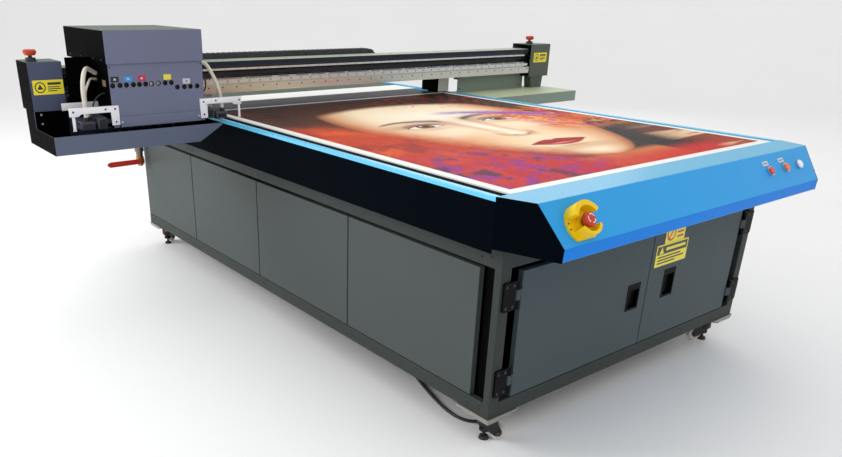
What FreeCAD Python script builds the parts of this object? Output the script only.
import FreeCAD, Part
import math, os
from FreeCAD import Vector, Placement, Matrix

# Flatbed UV printer, about 1.6 m x 2.0 m print bed, gantry travelling along Y and carriage along X.
# Millimetres, +Z up. Geometry is written with y = 0 on the cabinet's front face and is moved by Y_MID on saving,
# so that the origin is on the floor at the middle of the whole machine.

# ---------------------------------------------------------------- driving dimensions
Y_MID = 1325.5            # from the cabinet's front face to the middle of the machine
HALF_W = 792.0            # cabinet half width
LENGTH = 2894.0           # cabinet length
Z_CAB = 134.0             # underside of the cabinet
TABLE_Z = 915.0           # print surface height
TRIM_HALF = 858.0         # outer face of the side skirts and blue trims
TRIM_IN = 836.0           # inner face of the trims (outer wall of the gantry slot)
BEZ_Y0 = -8.0             # rear edge of the front bezel
BEZ_FOLD = -128.6         # top fold of the bezel
BEZ_LIP_Y, BEZ_LIP_Z = -218.4, 796.7
BEZ_BOT_Y, BEZ_BOT_Z = -216.0, 755.4
TAPER = 0.32              # bezel end taper, x per y
BOARD = (-794.0, -7.0, 794.0, 1992.0, 910.0, 915.0)
WING_X = 1630.0           # outer end of the gantry wings
WING_Y0, WING_Y1 = 1640.0, 2004.0
HOUSE_Z0, HOUSE_Z1 = 983.0, 1180.0
SCREW_X, SCREW_Z, SCREW_R = 745.0, 792.0, 16.0
CASTER_X, CASTER_Y0, CASTER_Y1 = 722.0, 72.0, 2822.0
TRAIL, WHEEL_R = 46.0, 27.0
HINGE_X, HINGE_Y = 712.0, -3.0
DOOR_Z0, DOOR_Z1 = 192.0, 650.0
DOOR_GAP_X = 46.0
RUN = 0.05                # radial running clearance of shafts
CORD_R = 6.0              # power cord radius
COIL_C = (-546.0, 246.6)  # coil centre on the floor
COIL_IN, COIL_OUT, COIL_H = 57.0, 83.0, 25.0

nodes = {}


def put(name, *shapes):
    nodes.setdefault(name, []).extend(shapes)


def box(x0, y0, z0, x1, y1, z1):
    x0, x1 = sorted((x0, x1)); y0, y1 = sorted((y0, y1)); z0, z1 = sorted((z0, z1))
    return Part.makeBox(x1 - x0, y1 - y0, z1 - z0, Vector(x0, y0, z0))


def cyl(x, y, z, r, h, axis=(0, 0, 1)):
    return Part.makeCylinder(r, h, Vector(x, y, z), Vector(*axis))


def cone(x, y, z, r1, r2, h, axis=(0, 0, 1)):
    return Part.makeCone(r1, r2, h, Vector(x, y, z), Vector(*axis))


def fuse(*s):
    out = s[0]
    for o in s[1:]:
        out = out.fuse(o)
    return out.removeSplitter()


def cut(a, *s):
    for o in s:
        a = a.cut(o)
    return a


def prism_x(pts, x0, x1):
    """Polygon of (y, z) points extruded along X."""
    w = Part.makePolygon([Vector(x0, p[0], p[1]) for p in pts] + [Vector(x0, pts[0][0], pts[0][1])])
    return Part.Face(w).extrude(Vector(x1 - x0, 0, 0))


def prism_y(pts, y0, y1):
    """Polygon of (x, z) points extruded along Y."""
    w = Part.makePolygon([Vector(p[0], y0, p[1]) for p in pts] + [Vector(pts[0][0], y0, pts[0][1])])
    return Part.Face(w).extrude(Vector(0, y1 - y0, 0))


def prism_z(pts, z0, z1):
    """Polygon of (x, y) points extruded along Z."""
    w = Part.makePolygon([Vector(p[0], p[1], z0) for p in pts] + [Vector(pts[0][0], pts[0][1], z0)])
    return Part.Face(w).extrude(Vector(0, 0, z1 - z0))


def tube(x0, y0, z0, x1, y1, z1, axis, t=3.0):
    """Rectangular hollow section along an axis."""
    o = box(x0, y0, z0, x1, y1, z1)
    x0, x1 = sorted((x0, x1)); y0, y1 = sorted((y0, y1)); z0, z1 = sorted((z0, z1))
    if axis == "x":
        i = box(x0 - 1, y0 + t, z0 + t, x1 + 1, y1 - t, z1 - t)
    elif axis == "y":
        i = box(x0 + t, y0 - 1, z0 + t, x1 - t, y1 + 1, z1 - t)
    else:
        i = box(x0 + t, y0 + t, z0 - 1, x1 - t, y1 - t, z1 + 1)
    return o.cut(i)


def soften(s, r, test):
    """Rounds the straight edges that pass the test on (midpoint, direction, length)."""
    es = []
    for e in s.Edges:
        if len(e.Vertexes) != 2:
            continue
        a, b = e.Vertexes[0].Point, e.Vertexes[1].Point
        d = b - a
        if d.Length < 1e-6:
            continue
        if test((a + b) * 0.5, d * (1.0 / d.Length), d.Length):
            es.append(e)
    if not es:
        return s
    try:
        f = s.makeFillet(r, es)
        return f if f.isValid() and len(f.Solids) == len(s.Solids) else s
    except Exception:
        return s


def mirror_x(s):
    return s.mirror(Vector(0, 0, 0), Vector(1, 0, 0))


def both(name, s):
    put(name, s, mirror_x(s))


# ---------------------------------------------------------------- cabinet frame
CROSS_Y = ((40, 80), (1427, 1467), (2190, 2230), (2832, 2872))
for y0, y1 in CROSS_Y:
    put("cabinet_frame", tube(-730, y0, 134, 730, y1, 184, "x"))
    put("cabinet_frame", tube(-730, y0, 690, 730, y1, 740, "x"))
    for s in (-1, 1):
        put("cabinet_frame", tube(s * 730, y0, 184, s * 770, y1, 690, "z"))
        top = 850 if y1 < 2800 else 890
        put("cabinet_frame", tube(s * 560, y0 + 2, 740, s * 600, y1 - 2, top, "z"))
for s in (-1, 1):
    put("cabinet_frame", tube(s * 730, 40, 134, s * 770, 2872, 184, "y"))
    put("cabinet_frame", tube(s * 730, 40, 690, s * 770, 2872, 740, "y"))
    # ledge that carries the gantry rail beam, outboard of the cabinet
    put("cabinet_frame", box(s * 705, 30, 740, s * 855, 2880, 748))
    put("cabinet_frame", tube(s * 799, 60, 748, s * 833, 2860, 786, "y"))
put("cabinet_frame", cut(box(-730, 80, 184, 730, 2832, 187), cyl(-560, 860, 180, 13, 20)))

# ---------------------------------------------------------------- sheet-metal skins
SEAMS = ((92, 805), (811, 1527), (1533, 2229), (2235, 2894))
for y0, y1 in SEAMS:
    p = box(-792, y0, 190, -770, y1, 655)
    p = soften(p, 2.5, lambda m, d, l: abs(m.x + 792) < 0.1)
    p = p.cut(box(-790, y0 + 2, 192, -769, y1 - 2, 653))
    both("body_panels", p)
for x0, x1 in ((-768, -2), (2, 768)):
    p = box(x0, 2872, 190, x1, 2894, 655)
    p = soften(p, 2.5, lambda m, d, l: abs(m.y - 2894) < 0.1)
    put("body_panels", p.cut(box(x0 + 2, 2871, 192, x1 - 2, 2892, 653)))
put("body_panels", box(-795.8, 2891, 740, 795.8, 2894, 889.9))

post = box(-792, 0, 134, -745, 28, 740)
post = soften(post, 2.0, lambda m, d, l: abs(m.y) < 0.1 and abs(d.z) > 0.9)
post = post.cut(box(-789, 3, 133, -748, 29, 741))
both("front_surround", post)
put("front_surround", box(-744.8, 0, 134, 744.8, 3, 188).fuse(box(-744.8, 3, 185, 744.8, 26, 188)).removeSplitter())
put("front_surround", box(-744.8, 4, 668, 744.8, 7, 740).fuse(box(-744.8, 7, 668, 744.8, 28, 671)).removeSplitter())
for y0, y1 in ((28.3, 1467), (1469, 2894)):
    both("front_surround", tube(-792, y0, 134, -771, y1, 188, "y", 2.5))
both("front_surround", tube(-792, 28.3, 668, -771, 2894, 740, "y", 2.5))
put("front_surround", tube(-770, 2873, 134, 770, 2894, 188, "x", 2.5))
put("front_surround", tube(-770, 2873, 668, 770, 2894, 740, "x", 2.5))

# corner plates over the casters
for sx in (-1, 1):
    for front in (True, False):
        ya, yb = (-6, 146) if front else (LENGTH + 6 - 152, LENGTH)
        cy = CASTER_Y0 if front else CASTER_Y1
        a = box(sx * 650, ya, 124, sx * 798, yb, 134)
        b = box(sx * 682, ya + 2, 114, sx * 794, yb - 34, 124) if front else box(sx * 682, ya + 34, 114, sx * 794, yb - 2, 124)
        p = a.fuse(b).removeSplitter()
        put("caster_plates", p.cut(cyl(sx * CASTER_X, cy, 110, 8 + RUN, 30)))

# button-head screws on the rails
def screw(p, axis, r=5.0, h=2.6):
    d = Vector(*axis)
    s = Part.makeCone(r, r * 0.6, h, Vector(*p), d)
    return s.cut(Part.makeCylinder(r * 0.36, h, Vector(*p) + d * (h * 0.45), d))

side_screws = [(1509, 687), (1446, 687), (1477, 715), (769, 687), (706, 687), (2204, 687), (2260, 687), (88, 691), (44, 700),
               (1503, 160), (1433, 160), (767, 156), (619, 156), (574, 156), (96, 158), (44, 160), (2200, 158), (2262, 158), (2840, 158), (2840, 700)]
for y, z in side_screws:
    both("panel_screws", screw((-792, y, z), (-1, 0, 0)))
for x in (-600, -200, 200, 600):
    put("panel_screws", screw((x, 0, 161), (0, -1, 0)))
    put("panel_screws", screw((x, 2894, 161), (0, 1, 0)), screw((x, 2894, 704), (0, 1, 0)))
for x in (-740, -30, 30, 740):
    for z in (215, 630):
        put("panel_screws", screw((x, 2894, z), (0, 1, 0)))

# ---------------------------------------------------------------- vacuum bed, printed board, rear deck
bed = box(-780, -5, 850, 780, 2236, 910)
bed = cut(bed, box(-700, 90, 849, 700, 1420, 895), box(-700, 1474, 849, 700, 2180, 895))
put("bed_table", soften(bed, 1.5, lambda m, d, l: m.z > 909.9))
x0, y0, x1, y1, z0, z1 = BOARD
put("printed_board", box(x0, y0, z0, x1, y1, z1))
put("rear_deck", box(-786, 2242, 890, 786, 2450, 914))
deck = box(-793, 2458, 890, 793, 2894, 915)
deck = soften(deck, 2.0, lambda m, d, l: m.z > 914.9)
put("rear_deck", deck.cut(box(-790, 2461, 889, 790, 2891, 912)))

# ---------------------------------------------------------------- front bezel
prof = [(BEZ_Y0, TABLE_Z), (BEZ_FOLD, TABLE_Z), (BEZ_LIP_Y, BEZ_LIP_Z), (BEZ_BOT_Y, BEZ_BOT_Z), (BEZ_Y0, BEZ_BOT_Z)]
inner = [(BEZ_Y0 + 1, TABLE_Z - 3), (BEZ_FOLD + 1.7, TABLE_Z - 3), (BEZ_LIP_Y + 3.2, BEZ_LIP_Z - 0.7),
         (BEZ_BOT_Y + 3.0, BEZ_BOT_Z + 3), (BEZ_Y0 + 1, BEZ_BOT_Z + 3)]


def plan(off, ya=BEZ_Y0, yb=-260.0):
    """Plan outline of the bezel between its tapered ends, moved inwards by off."""
    def hw(y):
        return TRIM_HALF - off * math.sqrt(1 + TAPER ** 2) - TAPER * (BEZ_Y0 - y)
    return [(-hw(ya), ya), (hw(ya), ya), (hw(yb), yb), (-hw(yb), yb)]


outer = prism_x(prof, -TRIM_HALF, TRIM_HALF)
outer = soften(outer, 5.0, lambda m, d, l: abs(d.x) > 0.9 and m.y < BEZ_Y0 - 1)
shell = outer.common(prism_z(plan(3.0), 700, 1000))
shell = shell.cut(prism_x(inner, -900, 900))
SLOPE_MID = Vector(0, (BEZ_FOLD + BEZ_LIP_Y) / 2, (TABLE_Z + BEZ_LIP_Z) / 2)
S_UP = Vector(0, 89.8, 118.3).normalize()
S_OUT = Vector(0, -118.3, 89.8).normalize()


def on_slope(s, x, v):
    """Places a shape drawn on (right, up-slope, outward) axes on the bezel's sloping face."""
    m = Matrix(1, 0, 0, x,
               0, S_UP.y, S_OUT.y, SLOPE_MID.y + S_UP.y * v,
               0, S_UP.z, S_OUT.z, SLOPE_MID.z + S_UP.z * v,
               0, 0, 0, 1)
    return placed(s, m)


def placed(s, m):
    c = s.copy()
    c.Placement = Placement(m).multiply(c.Placement)
    return c


BUTTONS = {"button_red": 459.0, "button_orange": 579.0, "button_white": 687.0}
BUTTON_V, STOP_X, STOP_V = 4.0, -686.0, -14.0
holes = [on_slope(cyl(0, 0, -30, 11.3, 60), x, BUTTON_V) for x in BUTTONS.values()]
holes.append(on_slope(cyl(0, 0, -30, 11.3, 60), STOP_X, STOP_V))
put("front_bezel", cut(shell, *holes))

# skirts: a long plate on each side and a tapered cap closing each end of the bezel
skirt = box(-TRIM_HALF, BEZ_Y0, 740, -TRIM_HALF + 3, LENGTH, 900)
cap = prism_x(prof, -TRIM_HALF, TRIM_HALF).common(prism_z(plan(0.0), 700, 1000)).cut(prism_z(plan(3.0, BEZ_Y0 + 1), 699, 1001))
cap_l = cap.common(box(-900, -300, 700, 0, 10, 1000))
both("side_skirts", skirt)
both("side_skirts", cap_l)
both("side_skirts", box(-854.8, 2891, 748, -796, 2894, 900))
trim = box(-TRIM_HALF, BEZ_Y0, 900, -TRIM_IN, LENGTH, 915)
both("side_trims", soften(trim, 3.0, lambda m, d, l: abs(d.y) > 0.9 and m.z > 914))

# ---------------------------------------------------------------- front panel fittings
def collar(r_out, r_in, h, z=0.0):
    return cyl(0, 0, z, r_out, h).cut(cyl(0, 0, z - 1, r_in, h + 2))

for n, x in BUTTONS.items():
    put("button_rings", on_slope(collar(18.5, 11.3, 2.0).fuse(collar(18.5, 15.3, 8.0, 2.0)).removeSplitter(), x, BUTTON_V))
    b = fuse(cyl(0, 0, -22, 9.0, 18), cyl(0, 0, -4.2, 11.0, 10.2), cyl(0, 0, 6.0, 15.0, 7.0), cone(0, 0, 13.0, 15.0, 13.0, 2.0))
    put(n, on_slope(b, x, BUTTON_V))
for x in (455.0, 575.0):
    put("button_rings", on_slope(box(-20, -9, 0, 20, 9, 1.2), x, 38.0))

def sector(r0, r1, a0, a1, z0, z1, n=14):
    """Ring sector between two radii and two angles in degrees."""
    pts = [(r1 * math.cos(math.radians(a0 + (a1 - a0) * i / n)), r1 * math.sin(math.radians(a0 + (a1 - a0) * i / n))) for i in range(n + 1)]
    pts += [(r0 * math.cos(math.radians(a1 + (a0 - a1) * i / n)), r0 * math.sin(math.radians(a1 + (a0 - a1) * i / n))) for i in range(n + 1)]
    return prism_z(pts, z0, z1)

base = fuse(cyl(0, 0, 0, 60, 8).common(box(-70, -47.3, 0, 70, 70, 8)))
guard = fuse(base, sector(44, 60, 26, 158, 8, 44), sector(37.3, 47.3, 204, 334, 8, 44), collar(24, 11.3, 10, 8))
put("estop_shroud", on_slope(guard.cut(cyl(0, 0, -5, 11.3, 60)), STOP_X, STOP_V))

def mushroom(stem_z0, head_z0, r=23.0):
    """Emergency-stop head: stem, waist and domed mushroom."""
    return fuse(cyl(0, 0, stem_z0, 8, head_z0 - stem_z0 + 1), cone(0, 0, head_z0, r - 6, r, 9),
                cyl(0, 0, head_z0 + 9, r, 9), cone(0, 0, head_z0 + 18, r, r - 6, 5))

put("estop_front", on_slope(mushroom(-14, 26), STOP_X, STOP_V))

# ---------------------------------------------------------------- doors, hinges, pulls
HINGE_Z = (575.0, 265.0)


def make_door(sign, x_edge, x_gap):
    """Folded-pan door hung on the outer edge; sign -1 left, +1 right."""
    d = box(x_edge, -2, DOOR_Z0, x_gap, 18, DOOR_Z1)
    d = soften(d, 2.5, lambda m, dd, l: abs(m.y + 2) < 0.1)
    lo, hi = sorted((x_edge, x_gap))
    d = d.cut(box(lo + 2, 0, DOOR_Z0 + 2, hi - 2, 19, DOOR_Z1 - 2))
    hx0, hx1, hz0, hz1 = (-77, -5, 360, 460) if sign < 0 else (158, 230, 364, 476)
    d = d.cut(box(hx0, -5, hz0, hx1, 5, hz1))
    cup = box(hx0 + 0.4, -4, hz0 + 0.4, hx1 - 0.4, 15, hz1 - 0.4)
    flange = box(hx0 - 3, -4, hz0 - 3, hx1 + 3, -2.0, hz1 + 3)
    cup = cup.fuse(flange).removeSplitter().cut(box(hx0 + 4, -5, hz0 + 6, hx1 - 4, 12, hz1 - 6))
    grip = box(hx0 + 4, -4, hz1 - 20, hx1 - 4, -1.5, hz1 - 6)
    put("door_handle_left" if sign < 0 else "door_handle_right", cup.fuse(grip).removeSplitter())
    hx = sign * HINGE_X
    for zc in HINGE_Z:
        kn = cyl(hx, HINGE_Y, zc - 17.5, 9, 35)
        web = box(hx, -8, zc - 17.5, x_edge, 4, zc + 17.5)
        web = web.fuse(box(x_edge, -2, zc - 17.5, x_edge - sign * 2.0, 4, zc + 17.5))
        d = d.fuse(kn.fuse(web)).cut(cyl(hx, HINGE_Y, zc - 30, 4 + RUN, 60))
        # fixed leaf: plate on the post, two knuckles and the pin
        leaf = box(sign * 780, -8, zc - 50, sign * 724, 0, zc + 50)
        leaf = soften(leaf, 6, lambda m, dd, l: abs(dd.y) > 0.9)
        parts = [leaf, cyl(hx, HINGE_Y, zc - 50, 9, 32), cyl(hx, HINGE_Y, zc + 18, 9, 32),
                 box(hx, -8, zc - 50, sign * 726, 0, zc - 18), box(hx, -8, zc + 18, sign * 726, 0, zc + 50),
                 cyl(hx, HINGE_Y, zc - 50, 4, 100)]
        f = fuse(*parts)
        f = f.cut(cyl(hx, HINGE_Y, zc - 17.9, 9.6, 35.8).cut(cyl(hx, HINGE_Y, zc - 20, 4, 40)))
        put("door_hinges", f)
    put("door_left" if sign < 0 else "door_right", d.removeSplitter())


make_door(-1, -690.0, DOOR_GAP_X - 2)
make_door(1, 690.0, DOOR_GAP_X + 2)

# ---------------------------------------------------------------- machinery inside the cabinet
put("vacuum_blower", fuse(cyl(350, 2000, 380, 150, 110, (0, 1, 0)), cyl(350, 2110, 380, 88, 220, (0, 1, 0)),
                          box(230, 2010, 187, 470, 2100, 300), box(480, 2030, 250, 560, 2080, 330)))
cbox = box(-620, 900, 187, -120, 1300, 640)
put("control_box", cbox.cut(box(-617, 903, 190, -123, 1297, 637)))
for s in (-1, 1):
    f = box(s * 721, 58, 748, s * 769, 84, 826).cut(cyl(s * SCREW_X, 50, SCREW_Z, 10 + RUN, 40, (0, 1, 0)))
    r = box(s * 721, 2794, 748, s * 769, 2818, 826).cut(cyl(s * SCREW_X, 2790, SCREW_Z, 10 + RUN, 40, (0, 1, 0)))
    m = box(s * 719, 2826, 762, s * 771, 2868, 822)
    m = soften(m, 6, lambda mm, d, l: abs(d.y) > 0.9)
    mt = box(s * 721, 2818, 748, s * 769, 2826, 762)
    put("gantry_drive_motors", f, r.fuse(mt).removeSplitter(), m)
    sc = fuse(cyl(s * SCREW_X, 60, SCREW_Z, 10, 30, (0, 1, 0)), cyl(s * SCREW_X, 90, SCREW_Z, SCREW_R, 2700, (0, 1, 0)),
              cyl(s * SCREW_X, 2790, SCREW_Z, 10, 34, (0, 1, 0)))
    put("ball_screw_left" if s < 0 else "ball_screw_right", sc)
    put("gantry_rails", box(s * 806, 70, 786, s * 826, 2850, 804))

# ---------------------------------------------------------------- drain valve at the rear left corner
VX, VY, VZ = -832.0, 2864.0, 527.0
vb = fuse(cyl(VX, VY, VZ + 20, 19, 34), cyl(VX, VY, VZ - 20, 23, 42), cyl(VX, VY, VZ - 30, 16, 12), cyl(VX, VY, VZ + 54, 26, 26),
          cyl(VX, VY, VZ + 78, 17, 44), Part.makeSphere(17, Vector(VX, VY, VZ + 122)), cyl(VX, VY, VZ + 122, 17, 40, (1, 0, 0)),
          cyl(VX, VY, VZ, 11, 28, (0, -1, 0)), cyl(VX, VY - 28, VZ, 6, 12, (0, -1, 0)), cyl(VX, VY - 34.6, VZ, 9, 7, (0, -1, 0)))
put("valve_body", vb)
lv = prism_y([(VX + 14, VZ - 14), (VX + 14, VZ + 14), (VX - 16, VZ + 15), (VX - 40, VZ + 14), (VX - 190, VZ + 13), (VX - 208, VZ + 4),
              (VX - 208, VZ - 8), (VX - 192, VZ - 18), (VX - 40, VZ - 15), (VX - 16, VZ - 14)], VY - 34.0, VY - 29.0)
put("valve_lever", lv.cut(cyl(VX, VY - 20, VZ, 6 + RUN, 20, (0, -1, 0))))

# ---------------------------------------------------------------- levelling casters
ANGLES = {"front_left": -40.0, "front_right": 150.0, "rear_left": 40.0, "rear_right": 200.0}
ARM = [(-22, 84), (-22, 64), (-6, 52), (30, 24), (40, 19), (54, 20), (60, 32), (58, 44), (36, 84)]
for n, ang in ANGLES.items():
    cx = -CASTER_X if "left" in n else CASTER_X
    cy = CASTER_Y0 if "front" in n else CASTER_Y1
    fork = fuse(cyl(0, 0, 62, 29, 42), cyl(0, 0, 103, 40, 10.5), cyl(0, 0, 113, 8, 19),
                prism_y(ARM, 14.5, 20), prism_y(ARM, -20, -14.5), box(-22, -20, 62, 36, 20, 84),
                cyl(TRAIL, -21, 30, 5, 42, (0, 1, 0)), cyl(0, 0, 10, 6, 60), cyl(0, 0, 33, 17, 13), cone(0, 0, 0, 19, 16, 11))
    wheel = cyl(TRAIL, -13, 30, WHEEL_R, 26, (0, 1, 0))
    wheel = wheel.cut(cyl(TRAIL, -14, 30, 5 + RUN, 28, (0, 1, 0)))
    wheel = wheel.cut(cyl(TRAIL, 10, 30, 18, 4, (0, 1, 0)).cut(cyl(TRAIL, 9, 30, 9, 6, (0, 1, 0))))
    for nm, s in (("caster_fork_" + n, fork), ("caster_wheel_" + n, wheel)):
        c = s.copy()
        c.rotate(Vector(0, 0, 0), Vector(0, 0, 1), ang)
        c.translate(Vector(cx, cy, 0))
        put(nm, c)

# ---------------------------------------------------------------- gantry
BEAM_X0, BEAM_X1 = -1487.0, 1442.0
beam_prof = [(1890, 1008), (1890, 1045), (1912, 1045), (1912, 1074), (1930, 1074), (1930, 1078), (1950, 1078), (1950, 1108), (1930, 1108),
             (1930, 1120), (2036, 1120), (2036, 1024), (2150, 1024), (2150, 1008)]
beam = prism_x(beam_prof, BEAM_X0, BEAM_X1).cut(box(BEAM_X0 - 1, 1960, 1030, BEAM_X1 + 1, 2026, 1108))
put("gantry_beam", beam)
PUL_X, PUL_Y, PUL_R = 1550.0, 1963.75, 25.0
for s in (-1, 1):
    xe = BEAM_X0 if s < 0 else BEAM_X1
    put("gantry_beam", box(xe, 1900, 1008, s * 1605, 2030, 1024))
    post = fuse(cyl(s * PUL_X, PUL_Y, 1024, 18, 58), cyl(s * PUL_X, PUL_Y, 1082, 8, 28))
    put("gantry_beam", post)
    pul = fuse(cyl(s * PUL_X, PUL_Y, 1082.5, 30, 1.5), cyl(s * PUL_X, PUL_Y, 1084, PUL_R - 0.1, 18.5), cyl(s * PUL_X, PUL_Y, 1102.5, 30, 1.5))
    put("belt_pulley_left" if s < 0 else "belt_pulley_right", pul.cut(cyl(s * PUL_X, PUL_Y, 1080, 8 + RUN, 30)))
# timing belt: two straight runs and a half turn round each pulley
t, ri = 2.5, PUL_R
def stadium(r):
    return fuse(box(-PUL_X, PUL_Y - r, 1085, PUL_X, PUL_Y + r, 1101.5), cyl(-PUL_X, PUL_Y, 1085, r, 16.5), cyl(PUL_X, PUL_Y, 1085, r, 16.5))
put("drive_belt", stadium(ri + t).cut(stadium(ri)))

put("carriage_rails", box(BEAM_X0, 1914, 1110, BEAM_X1, 1930, 1119), box(BEAM_X0, 1898, 1052, BEAM_X1, 1912, 1066))
cover = prism_x([(1906, 1124), (1906, 1152), (2039, 1152), (2039, 1026), (2036.2, 1026), (2036.2, 1149), (1909, 1149), (1909, 1124)], BEAM_X0 - 1, BEAM_X1 + 1)
cover = soften(cover, 2.5, lambda m, d, l: abs(d.x) > 0.9 and m.z > 1151.9)
put("beam_cover", cover)

for s in (-1, 1):
    up = fuse(box(s * 757, 2000, 918, s * 845, 2150, 1008), box(s * 799, 2010, 834, s * 833, 2140, 918))
    up = soften(up, 3, lambda m, d, l: abs(d.z) > 0.9 and m.z > 930)
    blocks = []
    for y0, y1 in ((2002, 2062), (2092, 2148)):
        blocks.append(box(s * 795, y0, 790, s * 835.5, y1, 834))
    nut = fuse(box(s * 718, 2066, 812, s * 799, 2088, 834), box(s * 718, 2050, 764, s * 772, 2104, 812))
    up = fuse(up, *blocks)
    up = fuse(up, nut, box(s * 795, 2062, 812, s * 835, 2092, 834))
    up = up.cut(box(s * 805.7, 1900, 780, s * 826.3, 2200, 804.3))
    up = up.cut(cyl(s * SCREW_X, 2000, SCREW_Z, SCREW_R + RUN, 200, (0, 1, 0)))
    put("gantry_uprights", up)

# left tray (open, holds the capping station) and right shelf (closed top)
tray_o = prism_y([(-WING_X, 839), (-1000, 839), (-890, 903), (-890, 913), (-WING_X, 913)], WING_Y0, WING_Y1)
tray_o = soften(tray_o, 3, lambda m, d, l: abs(m.y - WING_Y0) < 0.1 and m.z < 912)
tray = tray_o.cut(prism_y([(-WING_X + 2.5, 841.5), (-1001, 841.5), (-892.5, 904.5), (-892.5, 930), (-WING_X + 2.5, 930)], WING_Y0 + 2.5, WING_Y1 - 2.5))
put("gantry_trays", tray)
put("gantry_trays", box(-WING_X, 1880, 913, -WING_X + 2.5, WING_Y1, 983))
shelf = box(864, WING_Y0, 850, WING_X, WING_Y1, 912)
shelf = soften(shelf, 3, lambda m, d, l: m.z > 911.9 or (abs(m.y - WING_Y0) < 0.1 and abs(d.z) > 0.9))
put("gantry_trays", shelf.cut(box(866.5, WING_Y0 + 2.5, 849, WING_X - 2.5, WING_Y1 - 2.5, 909.5)))
put("gantry_trays", box(883, 1962, 912, 1474, 1965, 1007.8).cut(box(1444.6, 1960, HOUSE_Z0 - 0.4, 1480, 1967, 1010)), box(-1474, 1962, 913.2, -883, 1965, 1007.8))
put("gantry_trays", box(883, 1965, 985, 930, 2000, 1007.8), box(-930, 1965, 985, -883, 2000, 1007.8))

for s in (-1, 1):
    xi = -1490.0 if s < 0 else 1445.0
    h = box(xi, 1885, HOUSE_Z0, s * WING_X, 2045, HOUSE_Z1)
    h = soften(h, 4, lambda m, d, l: m.z > HOUSE_Z1 - 0.1 or (abs(m.y - 1885) < 0.1 and abs(d.z) > 0.9))
    lo, hi = (-WING_X + 2.5, xi + 1) if s < 0 else (xi - 1, WING_X - 2.5)
    h = h.cut(box(lo, 1887.5, HOUSE_Z0 + 2.5, hi, 2042.5, HOUSE_Z1 - 2.5))
    ex, ey = (-1600.0, 1925.0) if s < 0 else (1505.0, 1960.0)
    h = fuse(h, cyl(ex, ey, HOUSE_Z1 - 2.5, 16, 10.5)).cut(cyl(ex, ey, HOUSE_Z1 - 10, 11.3, 40))
    put("end_housings", h)
    if s < 0:
        put("end_housings", tube(-1600, 1900, 841.6, -1500, 1955, HOUSE_Z0, "z", 3))
    else:
        sp = prism_y([(1490, 912), (1590, 912), (1598, HOUSE_Z0), (1478, HOUSE_Z0)], 1900, 1955)
        put("end_housings", sp.cut(prism_y([(1493, 911), (1587, 911), (1595, HOUSE_Z0 + 1), (1481, HOUSE_Z0 + 1)], 1903, 1952)))
    head = mushroom(HOUSE_Z1 - 16, HOUSE_Z1 + 24, 26.0)
    head.translate(Vector(ex, ey, 0))
    put("estop_left" if s < 0 else "estop_right", head)

# energy chain: lower run, half turn, upper run
CH_X0, CH_BEND, CH_XM = 150.0, 250.0, -940.0
lo_run = box(CH_X0, 2052, 1030, CH_BEND, 2112, 1065)
up_run = box(CH_XM, 2052, 1145, CH_BEND, 2112, 1180)
turn = cyl(CH_BEND, 2052, 1105, 75, 60, (0, 1, 0)).cut(cyl(CH_BEND, 2050, 1105, 40, 64, (0, 1, 0))).common(box(CH_BEND, 2000, 1000, CH_BEND + 100, 2200, 1200))
put("energy_chain", fuse(lo_run, turn, up_run))
# capping station on the tray floor, under the parked heads
cs = fuse(box(-1330, 1705, 841.5, -1010, 1850, 850), box(-1310, 1718, 850, -1040, 1838, 880))
for i in range(4):
    cxx = -1288 + i * 66
    cs = cs.fuse(box(cxx - 22, 1728, 880, cxx + 22, 1828, 898).cut(box(cxx - 18, 1732, 890, cxx + 18, 1824, 900)))
put("capping_station", cs.removeSplitter())

# ---------------------------------------------------------------- carriage
slide = fuse(box(-1330, 1870, 960, -990, 1884, 1170))
for xb in (-1310, -1070):
    slide = slide.fuse(box(xb, 1884, 1102, xb + 60, 1927, 1123.5).cut(box(xb - 1, 1913.7, 1109.7, xb + 61, 1940, 1119.3)))
    slide = slide.fuse(box(xb, 1884, 1048, xb + 60, 1909, 1072).cut(box(xb - 1, 1897.7, 1051.7, xb + 61, 1920, 1066.3)))
slide = slide.fuse(box(-1185, 1884, 1087, -1125, 1935.7, 1099.5))
slide = slide.fuse(box(-1000, 1870, 1160, -944, 1884, 1166)).fuse(box(-1000, 1884, 1160, -944, 2112, 1166))
put("carriage_slide", slide.removeSplitter())

C_X0, C_X1, C_Y0, C_Y1, C_Z0, C_Z1 = -1370.0, -950.0, 1682.0, 1866.0, 924.0, 1190.0
cs = box(C_X0, C_Y0, C_Z0, C_X1, C_Y1, C_Z1)
cs = soften(cs, 3, lambda m, d, l: abs(d.z) > 0.9)
cs = cs.cut(box(C_X0 + 2, C_Y0 + 2, 932, C_X1 - 2, C_Y1 - 2, 1200))
INK_X = [(-1356, 1093), (-1325, 1093), (-1298, 1093), (-1268, 1093), (-1242, 1093), (-1215, 1093), (-1189, 1093), (-1158, 1093), (-1128, 1093), (-1100, 1093),
         (-1074, 1073), (-1041, 1073), (-1013, 1073), (-981, 1073)]
for x, z in INK_X:
    cs = cs.cut(cyl(x, C_Y0 - 2, z, 9.5, 6, (0, 1, 0)))
heads = []
for i in range(4):
    hx = -1288 + i * 66
    cs = cs.cut(box(hx - 18, 1729.5, 920, hx + 18, 1826.5, 935))
    hd = fuse(box(hx - 17.5, 1730, 919, hx + 17.5, 1826, 1000), box(hx - 14, 1745, 1000, hx + 14, 1810, 1060))
    heads.append(hd)
bump = box(-1343, 1674, 924, -976, C_Y0, 967)
bump = soften(bump, 3, lambda m, d, l: abs(m.y - 1674) < 0.1)
cs = cs.fuse(bump).removeSplitter()
put("carriage_shell", cs)
put("print_heads", *heads)
hood = box(-1377, 1675, 1178, -946, 2182, 1306)
hood = soften(hood, 4, lambda m, d, l: m.z > 1305.9 or abs(d.z) > 0.9)
put("carriage_hood", hood.cut(box(-1375, 1677, 1177, -948, 2180, 1304)))


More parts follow.
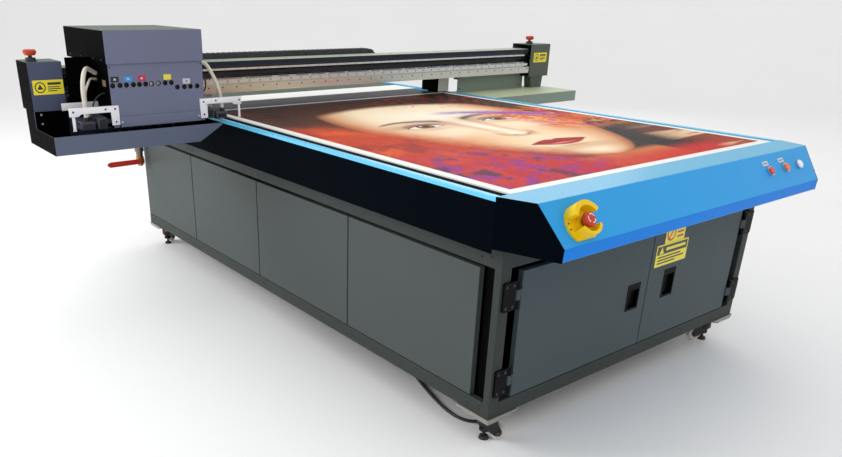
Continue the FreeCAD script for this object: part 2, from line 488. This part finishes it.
def hose(pts, r):
    """Round hose of straight runs joined by tangent arcs; each arc is as large as its runs allow."""
    P = [Vector(*p) for p in pts]
    edges, radii, length = [], [], 0.0
    cur = P[0]
    for i in range(1, len(P) - 1):
        a, b = P[i - 1] - P[i], P[i + 1] - P[i]
        run = min(a.Length, b.Length)
        turn_ang = math.pi - a.getAngle(b)
        rad = 0.45 * run / math.tan(turn_ang / 2)
        radii.append((round(rad, 1), round(math.degrees(turn_ang), 1)))
        ua, ub = a.normalize(), b.normalize()
        tl = 0.45 * run
        p0, p1 = P[i] + ua * tl, P[i] + ub * tl
        bis = (ua + ub).normalize()
        cen = P[i] + bis * (rad / math.cos(turn_ang / 2))
        mid = cen - bis * rad
        edges.append(Part.LineSegment(cur, p0).toShape())
        edges.append(Part.Arc(p0, mid, p1).toShape())
        length += (p0 - cur).Length + rad * turn_ang
        cur = p1
    edges.append(Part.LineSegment(cur, P[-1]).toShape())
    length += (P[-1] - cur).Length
    w = Part.Wire(edges)
    d = (P[1] - P[0]).normalize()
    prof_w = Part.Wire([Part.makeCircle(r, P[0], d)])
    s = w.makePipeShell([prof_w], True, True)
    print("radii", radii, "length", round(length, 1), "volume ratio", round(s.Volume / (math.pi * r * r * length), 4), s.isValid())
    return s


bl = prism_y([(-1546, 1015), (-1344, 1015), (-1344, 936), (-1377, 936), (-1377, 990), (-1500, 990), (-1512, 981), (-1546, 981)], 1672, 1682)
put("uv_lamps", fuse(bl, box(-1537, 1674, 922, -1526, 1680, 982)))
put("uv_lamps", fuse(box(-1500, 1690, 922, -1443, 1840, 955), box(-1433, 1690, 921, -1391, 1840, 969), box(-1500, 1700, 955, -1390, 1830, 959),
                     box(-1391, 1700, 940, -1370, 1830, 959)).removeSplitter())
put("uv_lamps", box(-1525, 1846, 985, -1370.2, 1851, 1015))
br = prism_y([(-976, 1018), (-771, 1018), (-771, 984), (-808, 984), (-819, 994), (-942, 994), (-942, 934), (-975.8, 934)], 1672, 1682)
put("uv_lamps", fuse(br, box(-788, 1674, 925, -778, 1680, 985)))
put("uv_lamps", fuse(box(-940, 1690, 928, -901, 1840, 972), box(-892, 1690, 922, -838, 1840, 953), box(-940, 1700, 953, -838, 1830, 957),
                     box(-950, 1700, 945, -939, 1830, 957)).removeSplitter())
side = box(C_X0, 1600, 900, C_X1, 1900, 1250)
put("uv_lamps", hose([(-1476, 1715, 959), (-1482, 1715, 1010), (-1497, 1716, 1062), (-1506, 1724, 1112), (-1490, 1750, 1152), (-1448, 1785, 1160), (-1408, 1812, 1140), (-1370, 1820, 1118)], 9)
    .cut(side).cut(box(-1510, 1680, 900, -1380, 1850, 959)))
put("uv_lamps", hose([(-950, 1722, 1166), (-921, 1720, 1154), (-897, 1718, 1122), (-880, 1716, 1076), (-868, 1714, 1024), (-858, 1713, 985), (-850, 1712, 957)], 9)
    .cut(side).cut(box(-950, 1680, 900, -830, 1850, 957)))

# ---------------------------------------------------------------- power cord, lying on the floor under the cabinet
put("cord_gland", fuse(cyl(-560, 860, 187, 20, 6), cyl(-560, 860, 160, 12.5, 30), cyl(-560, 860, 163, 19, 21), cone(-560, 860, 149, 10, 14, 14)).cut(cyl(-560, 860, 140, CORD_R, 80)))
ROUTE = [(-560, 860, 149), (-560, 860, 92), (-561, 836, 38), (-566, 792, 6.3), (-574, 706, 6.3), (-596, 622, 6.3), (-633, 530, 6.3), (-670, 420, 6.3), (-701, 312, 6.3),
         (-711, 228, 6.3), (-690, 166, 6.3), (-630, 141, 6.3), (-560, 150, 6.3), (-502, 184, 6.3)]
TAIL = [(-471, 256, 18.5), (-473, 302, 12), (-455, 344, 9), (-417, 370, 16), (-376, 376, 30.5)]
PLUG_AT = Vector(-376, 376, 30.5)
put("power_cord", hose(ROUTE, CORD_R), hose(TAIL, CORD_R))
ring = cyl(COIL_C[0], COIL_C[1], 0.3, COIL_OUT, COIL_H).cut(cyl(COIL_C[0], COIL_C[1], -1, COIL_IN, COIL_H + 4))
put("power_cord_coil", ring)
pd = Vector(41, 6, 0).normalize()
plug = fuse(Part.makeCone(9, 17, 34, PLUG_AT, pd), Part.makeCylinder(30, 78, PLUG_AT + pd * 34, pd))
plug = plug.cut(Part.makeCylinder(25, 44, PLUG_AT + pd * 70, pd))
pins = [Part.makeCylinder(3.2, 36, PLUG_AT + pd * 69 + Vector(-pd.y, pd.x, 0) * (12 * math.cos(a)) + Vector(0, 0, 12 * math.sin(a)), pd)
        for a in (math.pi / 2, math.pi * 7 / 6, math.pi * 11 / 6)]
put("power_plug", fuse(plug, *pins))

# ---------------------------------------------------------------- save
os.makedirs("parts", exist_ok=True)
lo, hi = [1e9] * 3, [-1e9] * 3
for name, shapes in nodes.items():
    solids = []
    for s in shapes:
        solids += s.Solids
    c = Part.makeCompound(solids)
    c.translate(Vector(0, -Y_MID, 0))
    b = c.BoundBox
    for i, (u, v) in enumerate(((b.XMin, b.XMax), (b.YMin, b.YMax), (b.ZMin, b.ZMax))):
        lo[i], hi[i] = min(lo[i], u), max(hi[i], v)
    if not c.isValid():
        print("INVALID", name)
    c.exportStep(os.path.join("parts", name + ".step"))
print(len(nodes), "nodes", [round(v, 2) for v in lo], [round(v, 2) for v in hi])
